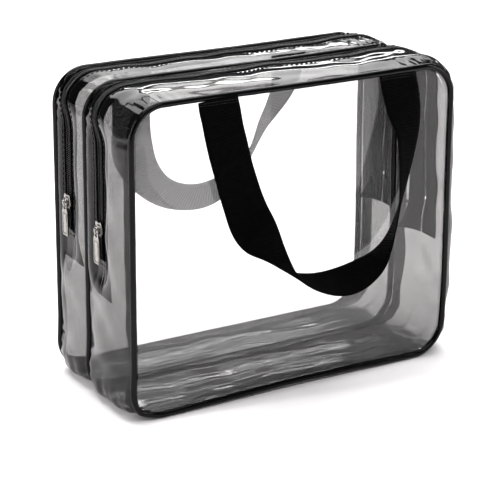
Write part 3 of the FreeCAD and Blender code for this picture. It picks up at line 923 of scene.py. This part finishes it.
@dataclass
class Zip:
    """A coil zip set in the gusset: two tapes, two coils, stitching, stops and a slider."""
    name: str
    y: float
    low: float
    tail: float
    flap_side: int              # -1 where the flap is in front of the zip, 1 where it is behind
    slider_height: float
    tape_inner: float = 0.8
    tape_outer: float = 15.0
    tape_depth: float = 1.2     # middle of the tape below the gusset's surface
    tape_thick: float = 0.7
    coil_middle: float = 1.9
    coil_pitch: float = 1.45
    stitch_place: float = 8.6
    stitch_pitch: float = 4.0

    def stations(self, low: float, step: float) -> np.ndarray:
        """Give distances along the rim from the left side to the right, above a height."""
        start, end = SHAPE.rim.left_at(low), SHAPE.rim.right_at(low)
        return np.linspace(start, end, int((end - start) / step))

    def half(self, word: str, side: int) -> str:
        """Name one half of a part of the zip."""
        owner = "flap" if side == self.flap_side else "divider"
        return "%s_zip_%s_%s_half" % (self.name, word, owner)

    def tape(self, side: int, palette: Palette) -> bpy.types.Object:
        """Make one half of the tape, loose and spread at its ends."""
        s = self.stations(self.tail, 2.4)
        across = np.linspace(self.tape_inner, self.tape_outer, 8)
        _, z, out_x, _ = SHAPE.rim.walk(s)
        loose = np.clip((self.low - z) / (self.low - self.tail), 0.0, 1.0) * np.abs(out_x)
        spread = 1.0 + 0.28 * loose[:, None] ** 1.5
        depth = self.tape_depth + 0.5 * loose[:, None] + 2.4 * loose[:, None] ** 2 \
            * (0.5 + 0.5 * across[None, :] / self.tape_outer)
        y = self.y + side * across[None, :] * spread
        points = SHAPE.skin(np.broadcast_to(s[:, None], y.shape), y, depth)
        piece = mesh_object(self.half("tape", side), points,
                            grid_faces(len(s), len(across), flip=side < 0))
        return dress(thicken(piece, self.tape_thick), palette.tape)

    def path(self, s: np.ndarray, y: float, inset: float) -> tuple[np.ndarray, np.ndarray]:
        """Give a line along the zip and its outward directions."""
        return SHAPE.skin(s, np.full_like(s, y), inset), SHAPE.rim.outwards(s)

    def coil(self, side: int, tool: RowTool, palette: Palette) -> bpy.types.Object:
        """Set the coil's turns along one half of the chain."""
        line = self.path(self.stations(self.low + 3.0, 1.0), self.y + side * self.coil_middle, -0.1)
        tooth = laid_across(capsule("coil_turn", 3.0, 0.62))
        for vertex in tooth.data.vertices:
            lean = vertex.co.y * -side
            vertex.co.z = vertex.co.z * 1.25 + 0.18 * lean
            vertex.co.x += 0.16 * lean
        return row_piece(self.half("coil", side), [line], tooth, tool, self.coil_pitch, 0.03, 3,
                         palette.coil)

    def stitching(self, side: int, tool: RowTool, palette: Palette) -> bpy.types.Object:
        """Sew the gusset to one half of the tape."""
        foot, seam = self.low - 3.0, self.y + side * self.stitch_place
        lines = [self.path(self.stations(foot, 1.5), seam, -0.18)]
        across = np.linspace(self.y + side * 0.4, seam, 8)
        for end in (SHAPE.rim.left_at(foot), SHAPE.rim.right_at(foot)):
            s = np.full_like(across, end)
            lines.append((SHAPE.skin(s, across, -0.18), SHAPE.rim.outwards(s)))
        return row_piece(self.half("stitches", side), lines, capsule("stitch", 2.7, 0.34), tool,
                         self.stitch_pitch, 0.1, 11, palette.thread)

    def stop(self, word: str, hand: int, palette: Palette) -> bpy.types.Object:
        """Mould the stop across the chain's lower end on one side of the bag."""
        bar = capsule("%s_zip_end_stop_%s" % (self.name, word), 7.6, 1.15, 10)
        return dress(laid_across(bar, (hand * 134.9, self.y, self.low + 1.5)), palette.coil)


def prism(name: str, outline: list[tuple[float, float]], x_low: float, x_high: float,
          edge: float) -> bpy.types.Object:
    """Make a flat plate from an outline in Y and Z, with rounded edges.

    Args:
        name: piece name.
        outline: corners in order.
        x_low, x_high: faces of the plate.
        edge: radius of its edges in millimetres.
    Returns:
        The plate.
    """
    count = len(outline)
    points = [(x, y, z) for x in (x_low, x_high) for y, z in outline]
    faces = [tuple(range(count)), tuple(reversed(range(count, 2 * count)))]
    faces += [(i, count + i, count + (i + 1) % count, (i + 1) % count) for i in range(count)]
    return rounded(face_outwards(mesh_object(name, np.array(points), faces)), edge)


def arc_corner(centre: tuple[float, float], radius: float, start: float, end: float,
               steps: int = 5) -> list[tuple[float, float]]:
    """Give points of a rounded corner, angles in degrees."""
    return [(centre[0] + radius * math.cos(math.radians(a)),
             centre[1] + radius * math.sin(math.radians(a)))
            for a in np.linspace(start, end, steps)]


@dataclass
class Slider:
    """A die-cast slider with its crown, and the long flat pull that hangs from it."""
    name: str
    y: float
    height: float
    length: float = 12.5
    width: float = 9.6
    outer_face: float = -136.4
    inner_face: float = -133.0
    plate: float = 1.2
    crown_rise: float = 3.6
    pin_x: float = -138.9
    pull_length: float = 26.0
    pull_width: float = 8.6
    pull_thick: float = 1.2

    def shield(self, grow: float) -> list[tuple[float, float]]:
        """Outline of a slider plate: broad shoulders above, a narrow foot below."""
        half, tall = self.width / 2 - grow, self.length / 2 - grow
        right = (arc_corner((self.y + half - 3.2, self.height - tall + 2.6), 2.6, -90, -20)
                 + [(self.y + half - 0.3, self.height - 1.0)]
                 + arc_corner((self.y + half - 2.4, self.height + tall - 2.6), 2.4, 5, 85))
        left = [(2 * self.y - y, z) for y, z in reversed(right)]
        notch = [(self.y, self.height + tall - 1.1)]
        return right + notch + left

    def body(self, palette: Palette) -> bpy.types.Object:
        """Build plates, post, side walls and crown as one casting."""
        low, high = self.height - self.length / 2, self.height + self.length / 2
        parts = [
            prism("outer", self.shield(0.0), self.outer_face - self.plate, self.outer_face, 0.35),
            prism("inner", self.shield(0.3), self.inner_face, self.inner_face + self.plate, 0.3),
            prism("post", [(self.y - 0.4, low + 0.6), (self.y + 0.4, low + 0.6),
                           (self.y + 0.4, low + 4.2), (self.y - 0.4, low + 4.2)],
                  self.outer_face - 0.2, self.inner_face + 0.2, 0.1)]
        for hand in (-1, 1):
            edge = self.y + hand * (self.width / 2 - 0.5)
            parts.append(prism("wall", [(edge - 0.4, low + 3.4), (edge + 0.4, low + 3.4),
                                        (edge + 0.4, high - 3.4), (edge - 0.4, high - 3.4)],
                               self.outer_face - 0.4, self.outer_face + 1.1, 0.15))
        parts.append(self.crown())
        return dress(joined("%s_slider" % self.name, parts), palette.metal)

    def crown(self) -> bpy.types.Object:
        """Bend the flat bar that the pull hangs from."""
        face = self.outer_face - self.plate
        turn = np.linspace(-0.08, math.pi + 0.08, 15)
        z = self.height + 3.6 * np.cos(turn)
        x = face - (self.crown_rise - 0.55) * np.sin(turn)
        normal_z, normal_x = np.cos(turn), -np.sin(turn)
        section = [(1.25 * math.cos(a), 0.55 * math.sin(a)) for a in np.arange(10) * TAU / 10]
        points = [(x[i] + b * normal_x[i], self.y + a, z[i] + b * normal_z[i])
                  for i in range(len(turn)) for a, b in section]
        return face_outwards(mesh_object(
            "crown", np.array(points), tube_faces(len(turn), len(section), flip=False)))

    def pull(self, palette: Palette) -> bpy.types.Object:
        """Stamp the pull, with its eye, pin and sunk face."""
        half, low, top = self.pull_width / 2, self.height - self.pull_length, self.height + 0.9
        neck, eye, foot = 3.1, 1.9, self.height - 5.4
        outline = (arc_corner((self.y + half - 1.6, low + 1.6), 1.6, -90, 0)
                   + [(self.y + half, foot - 2.2)]
                   + arc_corner((self.y + neck + 0.7, foot + 1.2), 0.7, 200, 180, 2)
                   + arc_corner((self.y + neck - 0.6, top - 0.9), 0.9, 20, 90, 3)
                   + [(self.y + eye, top), (self.y + eye, foot + 0.9), (self.y + eye - 0.9, foot),
                      (self.y - eye + 0.9, foot), (self.y - eye, foot + 0.9),
                      (self.y - eye, top)])
        right = outline[:-6]
        outline = outline + [(2 * self.y - y, z) for y, z in reversed(right)]
        sides = (self.pin_x - self.pull_thick / 2, self.pin_x + self.pull_thick / 2)
        blade = prism("blade", outline, sides[0], sides[1], 0.25)
        border = []
        for x in sides:
            points = [(x, self.y + hand * (half - grow), z) for grow in (0.9, 1.7)
                      for hand, z in ((1, low + grow), (1, foot - 3.4),
                                      (-1, foot - 3.4), (-1, low + grow))]
            faces = [(i, (i + 1) % 4, 4 + (i + 1) % 4, 4 + i) for i in range(4)]
            border.append(thicken(mesh_object("rim", np.array(points), faces), 0.5))
        pin = laid_across(capsule("pin", self.pull_width - 2.0, 0.72, 12),
                          (self.pin_x, self.y, self.height))
        return dress(joined("%s_pull" % self.name, [blade, pin] + border), palette.metal)


@dataclass
class Handle:
    """A webbing handle sewn to a panel and hanging over it in a twisted loop."""
    name: str
    hand: int                   # -1 in front, 1 behind
    ends: tuple[float, float]
    loop: tuple[tuple[float, float, float], ...]
    slopes: tuple[float, float]     # sideways run of each sewn end for each millimetre down
    half_width: float = 16.0
    half_thick: float = 0.75
    step: float = 0.42
    columns: int = 10
    rib_pitch: float = 2.2
    rib_height: float = 0.26

    def stations(self) -> tuple[np.ndarray, np.ndarray]:
        """Give the route's points and twists, from the sewn left end to the sewn right one."""
        rows = []
        for x, z, twist in self.loop:
            lean = math.radians(twist)
            rows.append((x, self.hand * (63.35 + 16.0 * abs(math.sin(lean))), z, lean))

        def end(x: float, slope: float) -> list[tuple[float, float, float, float]]:
            """Give the stations of one sewn end, from its top down."""
            return [(x, self.hand * 61.35, 233.2, 0.0),
                    (x + 0.4 * slope, self.hand * 61.4, 230.5, 0.0),
                    (x + 3.5 * slope, self.hand * 61.6, 226.5, 0.0),
                    (x + 9.5 * slope, self.hand * 62.6, 221.0, 0.0)]
        rows = (end(self.ends[0], self.slopes[0]) + rows
                + list(reversed(end(self.ends[1], self.slopes[1]))))
        table = np.array(rows)
        return table[:, :3], table[:, 3]

    def route(self) -> tuple[np.ndarray, np.ndarray, np.ndarray]:
        """Run a smooth line through the stations.

        Returns:
            Points, twists, and distances along the line.
        """
        points, twists = self.stations()
        table = np.concatenate([points, twists[:, None]], 1)
        knots = np.concatenate([[0.0], np.cumsum(
            np.sqrt(np.linalg.norm(np.diff(points, axis=0), axis=1)))])
        fine = []
        for i in range(len(table) - 1):
            before = table[max(i - 1, 0)]
            after = table[min(i + 2, len(table) - 1)]
            k0, k1, k2 = knots[max(i - 1, 0)], knots[i], knots[i + 1]
            k3 = knots[min(i + 2, len(table) - 1)]
            slope1 = (table[i + 1] - before) / (k2 - k0)
            slope2 = (after - table[i]) / (k3 - k1)
            for t in np.linspace(0.0, 1.0, 40, endpoint=False):
                h = k2 - k1
                fine.append((2 * t ** 3 - 3 * t ** 2 + 1) * table[i]
                            + (t ** 3 - 2 * t ** 2 + t) * h * slope1
                            + (3 * t ** 2 - 2 * t ** 3) * table[i + 1]
                            + (t ** 3 - t ** 2) * h * slope2)
        fine = np.array(fine + [table[-1]])
        far = np.concatenate([[0.0], np.cumsum(
            np.linalg.norm(np.diff(fine[:, :3], axis=0), axis=1))])
        even = np.linspace(0.0, far[-1], int(far[-1] / self.step))
        smooth = np.stack([np.interp(even, far, fine[:, k]) for k in range(4)], -1)
        reach = 24                  # steps to each side that the smoothing takes in
        kernel = np.hanning(2 * reach + 1)
        kernel /= kernel.sum()
        for k in range(4):
            padded = np.concatenate([2 * smooth[0, k] - smooth[reach:0:-1, k], smooth[:, k],
                                     2 * smooth[-1, k] - smooth[-2:-reach - 2:-1, k]])
            smooth[:, k] = np.convolve(padded, kernel, "valid")
        return smooth[:, :3], smooth[:, 3], even

    def build(self, tool: RibTool, palette: Palette) -> bpy.types.Object:
        """Weave the webbing along its route, raise its ribs and dress it."""
        centre, twist, far = self.route()
        along = np.gradient(centre, axis=0)
        along /= np.linalg.norm(along, axis=1)[:, None]
        inwards = np.stack([-along[:, 2], np.zeros(len(far)), along[:, 0]], -1)
        inwards /= np.linalg.norm(inwards, axis=1)[:, None]
        across = (np.cos(twist)[:, None] * inwards
                  + np.sin(twist)[:, None] * np.array([0.0, self.hand, 0.0]))
        normal = np.cross(along, across)
        normal /= np.linalg.norm(normal, axis=1)[:, None]
        across = np.cross(normal, along)
        v = np.linspace(-self.half_width, self.half_width, self.columns)
        crown = self.half_thick * np.sqrt(np.clip(1.0 - np.abs(v / self.half_width) ** 8, 0.05, 1))
        ring_v = np.concatenate([v, v[::-1]])
        ring_n = np.concatenate([crown, -crown[::-1]])
        flat = np.where(np.abs(ring_v) > self.half_width - 0.5, 0.25, 1.0)
        cup = 0.5 * np.sin(far / 55.0)[:, None] * ((ring_v / self.half_width) ** 2)[None, :]
        frill = 1.0 + 0.006 * np.sin(far * TAU / 31.0)
        points = (centre[:, None, :]
                  + (ring_v[None, :] * frill[:, None])[..., None] * across[:, None, :]
                  + (ring_n[None, :] + cup)[..., None] * normal[:, None, :])
        count = len(ring_v)
        piece = mesh_object("%s_handle" % self.name, points, tube_faces(len(far), count))
        cloth = np.stack([np.broadcast_to(far[:, None] * MM, (len(far), count)),
                          np.broadcast_to(ring_v[None, :] * MM, (len(far), count)),
                          np.broadcast_to(flat[None, :], (len(far), count))], -1)
        layer = piece.data.attributes.new("cloth", "FLOAT_VECTOR", "POINT")
        layer.data.foreach_set("vector", cloth.astype(np.float32).ravel())
        corners = np.empty(len(piece.data.loops), dtype=np.int32)
        piece.data.loops.foreach_get("vertex_index", corners)
        weave = piece.data.uv_layers.new(name="weave")
        weave.data.foreach_set("uv", cloth.reshape(-1, 3)[corners, :2].astype(np.float32).ravel())
        tool.run(piece, {"Pitch": self.rib_pitch * MM, "Height": self.rib_height * MM,
                         "Strand": 0.0040, "Material": palette.webbing})
        return dress(piece, palette.webbing)

    def stitching(self, tool: RowTool, palette: Palette) -> bpy.types.Object:
        """Sew both ends of the webbing under the top piping."""
        lines = []
        for middle in self.ends:
            for height in (229.4, 231.2):
                x = np.linspace(middle - 14.0, middle + 14.0, 12)
                lines.append((np.stack([x, np.full_like(x, self.hand * 62.35),
                                        np.full_like(x, height)], -1),
                              np.tile(np.array([0.0, self.hand, 0.0]), (len(x), 1))))
        return row_piece("%s_handle_stitches" % self.name, lines, capsule("stitch", 2.3, 0.3),
                         tool, 3.0, 0.08, 5, palette.thread)


@dataclass
class Compartment:
    """One compartment: its panel, piping, gusset, binding, zip, slider and handle."""
    name: str
    hand: int
    outer: float                # Y of its own piping
    zip: Zip
    fold: Fold
    handle: Handle
    panel_sag: float
    slot_half: float = 7.0
    split: float = 150.0
    binding_width: float = 7.2

    def rows(self) -> np.ndarray:
        """Distances along the rim of the gusset's rows, with rows at the slot's ends."""
        rim = SHAPE.rim
        marks = [0.0, rim.left_at(self.zip.low), rim.left_at(self.split),
                 rim.right_at(self.split), rim.right_at(self.zip.low), rim.length]
        spans = [np.linspace(a, b, max(2, int((b - a) / 2.3)), endpoint=False)
                 for a, b in zip(marks, marks[1:])]
        return np.concatenate(spans)

    def columns(self) -> np.ndarray:
        """Places from front to back of the gusset's columns, with two at the slot's edges."""
        low, high = sorted((self.outer, BEADS[1]))
        marks = [low, self.zip.y - self.slot_half, self.zip.y + self.slot_half, high]
        spans = [np.linspace(a, b, max(2, int((b - a) / 1.7)), endpoint=False)
                 for a, b in zip(marks, marks[1:])]
        return np.concatenate(spans + [np.array([high])])

    def gusset(self, palette: Palette) -> tuple[bpy.types.Object, bpy.types.Object]:
        """Make the gusset: the part on the flap's side, and the strip by the divider."""
        s, y = self.rows(), self.columns()
        points = SHAPE.skin(np.repeat(s[:, None], len(y), 1), np.repeat(y[None, :], len(s), 0))
        rim = SHAPE.rim
        middle_s = (s + np.append(s[1:], rim.length)) / 2
        middle_y = (y[:-1] + y[1:]) / 2
        above_zip = ((middle_s > rim.left_at(self.zip.low))
                     & (middle_s < rim.right_at(self.zip.low)))
        above_split = ((middle_s > rim.left_at(self.split))
                       & (middle_s < rim.right_at(self.split)))

        def divider_strip(i: int, j: int) -> bool:
            """Tell whether a quad stays with the divider when the flap opens."""
            away = (middle_y[j] - self.zip.y) * -self.hand
            return bool(above_split[i] and away > self.slot_half)

        def flap_part(i: int, j: int) -> bool:
            """Tell whether a quad belongs to the side that bends to the flap."""
            in_slot = abs(middle_y[j] - self.zip.y) < self.slot_half
            return not divider_strip(i, j) and not (above_zip[i] and in_slot)

        main = mesh_object("%s_gusset" % self.name, points,
                           grid_faces(len(s), len(y), True, keep=flap_part))
        strip = mesh_object("%s_gusset_divider_strip" % self.name, points,
                            grid_faces(len(s), len(y), True, keep=divider_strip))
        return (dress(drop_loose(main), palette.smoke),
                dress(drop_loose(strip), palette.smoke))

    def build(self, rows_tool: RowTool, rib_tool: RibTool, palette: Palette) -> None:
        """Build every piece of the compartment; the divider-side pieces, the stops, the slider, the
        pull and the handle's stitching are hung on their bodies.
        """
        name, hang = self.name, self.fold.hang

        def node(*words: str) -> list[str]:
            """Name this compartment's CAD nodes."""
            return ["%s_%s" % (self.name, word) for word in words]

        panel = Panel("%s_panel_sheet" % name, self.outer, self.panel_sag).build(
            palette.clear if self.hand < 0 else palette.lining)
        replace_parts(hang(panel), *node("panel_lower", "panel_upper"))
        bead = Piping("%s_piping_bead" % name, self.outer).build(palette)
        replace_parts(hang(bead), *node("piping_lower", "piping_upper"))
        main, strip = self.gusset(palette)
        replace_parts(hang(main), *node("gusset_lower", "gusset_flap_strip"))
        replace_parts(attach(strip, "bag"), *node("gusset_divider_strip"))
        binding = binding_strip("%s_seam_binding" % name, self.outer - self.hand * 2.0,
                                -self.hand, self.binding_width, palette)
        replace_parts(hang(binding), *node("binding_lower", "binding_upper"))
        log.info("%s compartment: sheets and piping", name)

        for side in (self.hand, -self.hand):
            moves = side == self.hand
            hold = hang if moves else (lambda piece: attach(piece, "bag"))
            word = "flap_side" if moves else "divider_side"
            ends = ["%s_left_end", "%s_right_end"] if moves else []
            tape = hold(self.zip.tape(side, palette))
            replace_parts(tape, *node("zip_tape_" + word, *[e % "zip_tape" for e in ends]))
            coil = hold(self.zip.coil(side, rows_tool, palette))
            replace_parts(coil, *node("zip_coil_" + word, *[e % "zip_coil" for e in ends]))
            hold(self.zip.stitching(side, rows_tool, palette))
        for word, hand in (("left", -1), ("right", 1)):
            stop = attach(self.zip.stop(word, hand, palette), "bag")
            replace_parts(stop, *node("zip_stop_" + word))
        slider = Slider(name, self.zip.y, self.zip.slider_height)
        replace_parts(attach(slider.body(palette), "%s_slider" % name), *node("slider_body"))
        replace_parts(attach(slider.pull(palette), "%s_pull" % name), *node("pull_tab"))
        log.info("%s compartment: zip and slider", name)

        strap = self.handle.build(rib_tool, palette)
        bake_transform(strap)
        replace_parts(strap, *node("handle_strap", "handle_tab_left", "handle_tab_right"))
        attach(self.handle.stitching(rows_tool, palette), "%s_flap" % name)
        log.info("%s compartment: handle", name)


def binding_strip(name: str, y_start: float, way: int, width: float,
                  palette: Palette) -> bpy.types.Object:
    """Make the folded seam strip that lies inside the gusset beside a piping.

    Args:
        name: piece name.
        y_start: edge by the piping.
        way: direction across, 1 or -1.
        width: width of the strip.
        palette: finishes.
    Returns:
        The dressed strip.
    """
    s = np.linspace(0.0, SHAPE.rim.length, 360, endpoint=False)
    across = np.linspace(0.0, width, 6)
    y = np.broadcast_to(y_start + way * across[None, :], (len(s), len(across)))
    inset = 1.6 + 0.16 * across[None, :] * (1.0 + 0.5 * np.sin(TAU * s[:, None] / 53.0))
    points = SHAPE.skin(np.repeat(s[:, None], len(across), 1), y, inset)
    points[..., 1] = y + SHAPE.drift(points[..., 0], y, points[..., 2])[..., 1]
    faces = grid_faces(len(s), len(across), True, flip=way < 0)
    return dress(mesh_object(name, points, faces), palette.binding)


@dataclass
class Divider:
    """The sheet between the compartments, with its own piping and seam strip."""
    y: float = BEADS[1]
    sag: float = 1.6

    def build(self, palette: Palette) -> None:
        """Build the divider's pieces on the bag."""
        panel = Panel("divider_sheet", self.y, self.sag).build(palette.lining)
        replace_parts(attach(panel, "bag"), "divider_panel")
        bead = Piping("divider_piping_bead", self.y).build(palette)
        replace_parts(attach(bead, "bag"), "divider_piping")
        strip = binding_strip("divider_seam_binding", self.y - 2.0, -1, 5.0, palette)
        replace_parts(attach(strip, "bag"), "divider_binding")
        log.info("divider")


# ------------------------------------------------------------------- studio

@dataclass
class Studio:
    """Pale floor, soft lights and the camera."""
    azimuth: float = -31.206
    elevation: float = 18.44
    roll: float = 0.452
    distance: float = 1.4365
    lens: float = 141.7
    target: tuple[float, float, float] = (0.0, 0.0, 0.1184)
    shift: tuple[float, float] = (-0.02875, -0.05127)

    def camera(self) -> None:
        """Set the camera at its viewing angle."""
        az, el, roll = (math.radians(v) for v in (self.azimuth, self.elevation, self.roll))
        back = Vector((math.sin(az) * math.cos(el), -math.cos(az) * math.cos(el), math.sin(el)))
        right = Vector((math.cos(az), math.sin(az), 0.0))
        up = back.cross(right)
        right, up = (right * math.cos(roll) + up * math.sin(roll),
                     up * math.cos(roll) - right * math.sin(roll))
        data = bpy.data.cameras.new("camera")
        data.lens = self.lens
        data.sensor_width = 36.0
        data.shift_x, data.shift_y = self.shift
        data.clip_end = 50.0
        camera = bpy.data.objects.new("camera", data)
        turn = Matrix((right, up, back)).transposed().to_4x4()
        camera.matrix_world = Matrix.Translation(Vector(self.target) + back * self.distance) @ turn
        bpy.context.scene.collection.objects.link(camera)
        bpy.context.scene.camera = camera

    def floor(self) -> None:
        """Lay the pale floor."""
        piece = mesh_object("floor", np.array([(-6000, -6000, -0.3), (6000, -6000, -0.3),
                                               (6000, 6000, -0.3), (-6000, 6000, -0.3)]),
                            [(0, 1, 2, 3)])
        piece.data.materials.append(Shader("matt_white_paper").close(
            "ShaderNodeBsdfDiffuse", {"Color": linear("F6F3F4")}, {}))

    def area(self, name: str, place: tuple[float, float, float],
             aim: tuple[float, float, float], size: tuple[float, float], power: float) -> None:
        """Hang one soft white rectangular light."""
        data = bpy.data.lights.new(name, "AREA")
        data.shape = "RECTANGLE"
        data.size, data.size_y = size
        data.energy = power
        lamp = bpy.data.objects.new(name, data)
        way = Vector(aim) - Vector(place)
        lamp.matrix_world = (Matrix.Translation(Vector(place))
                             @ way.to_track_quat("-Z", "Y").to_matrix().to_4x4())
        bpy.context.scene.collection.objects.link(lamp)

    def lights(self) -> None:
        """Set the studio lights and the dim surroundings."""
        for name, place, aim, size, power in (
                ("overhead", (0.1, 0.35, 1.5), (0.0, 0.0, 0.0), (1.7, 1.3), 32.0),
                ("behind", (0.6, 1.9, 1.5), (0.6, 1.7, 0.0), (2.2, 1.2), 30.0),
                ("back_strip", (0.8, 1.3, 0.72), (0.0, 0.0, 0.1), (1.5, 0.07), 3.5),
                ("left_strip", (-1.0, 0.05, 0.45), (0.0, 0.0, 0.12), (0.05, 0.9), 5.0),
                ("right_strip", (0.9, -0.7, 0.45), (0.0, 0.0, 0.12), (0.05, 0.8), 4.0),
                ("front_strip", (-0.1, -0.9, 1.05), (0.0, 0.0, 0.15), (1.1, 0.05), 6.0)):
            self.area(name, place, aim, size, power)
        world = bpy.data.worlds.new("surroundings")
        world.use_nodes = True
        tree = world.node_tree
        tree.nodes.clear()
        glow = add_node(tree, "ShaderNodeBackground", {"Color": linear("5A5A5C"), "Strength": 1.0})
        add_node(tree, "ShaderNodeOutputWorld", {}, {"Surface": glow.outputs[0]})
        bpy.context.scene.world = world
        bpy.context.scene.view_settings.view_transform = "Standard"
        bpy.context.scene.view_settings.look = "Medium High Contrast"

    def build(self) -> None:
        """Set up camera, floor and lights."""
        self.camera()
        self.floor()
        self.lights()
        log.info("studio")


FRONT_LOOP = (
    (-64, 212, 0), (-59, 192, 0), (-54, 174, 0), (-48.5, 156, 3), (-43.5, 139, 20),
    (-35, 121, 58), (-24, 107, 83), (-13, 97, 92), (0, 89.5, 98), (19, 84.5, 106),
    (37, 85.5, 107), (54, 93, 91), (66, 103, 71), (74, 114, 61), (79, 127, 56),
    (83.5, 142, 48), (88, 164, 37), (91, 187, 25), (90, 205, 7),
)
BACK_LOOP = (
    (-71, 205, 0), (-71, 186, 0), (-69, 168, -14), (-62.5, 150, -34), (-52.5, 135, -43),
    (-41, 124.5, -42), (-28, 118, -38), (-13, 115, -33), (2, 116, -29), (16, 121, -31),
    (30, 129, -40), (41, 141, -48), (48, 153, -47), (54, 166, -40), (62, 179, -32),
    (68.5, 193, -21), (70, 208, -9),
)


def main() -> None:
    """Build the studio and the bag, piece by piece."""
    logging.basicConfig(level=logging.INFO, format="%(name)s: %(message)s")
    Studio().build()
    palette = Palette()
    rows_tool, rib_tool = RowTool(), RibTool()
    front = Compartment(
        "front", -1, BEADS[0],
        Zip("front", -12.0, 110.0, 84.0, -1, 134.0),
        Fold("front_flap", (0.0, 8.6, 150.0), (0.0, -46.25, 233.6)),
        Handle("front", -1, (-67.0, 86.0), FRONT_LOOP, (0.2, 0.16)), 1.4)
    back = Compartment(
        "back", 1, BEADS[2],
        Zip("back", 39.5, 118.0, 95.0, 1, 140.5),
        Fold("back_flap", (0.0, 13.4, 150.0), (0.0, 55.0, 227.5)),
        Handle("back", 1, (-70.0, 68.5), BACK_LOOP, (0.0, 0.06)), -1.4)
    front.build(rows_tool, rib_tool, palette)
    back.build(rows_tool, rib_tool, palette)
    Divider().build(palette)


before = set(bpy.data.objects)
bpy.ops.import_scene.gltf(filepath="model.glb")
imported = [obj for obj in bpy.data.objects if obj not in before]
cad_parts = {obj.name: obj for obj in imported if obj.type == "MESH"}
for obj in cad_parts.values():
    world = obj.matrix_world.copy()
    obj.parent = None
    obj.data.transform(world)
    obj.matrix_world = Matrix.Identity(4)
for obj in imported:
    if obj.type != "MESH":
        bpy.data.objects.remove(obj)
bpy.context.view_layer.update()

if __name__ == "__main__":
    main()
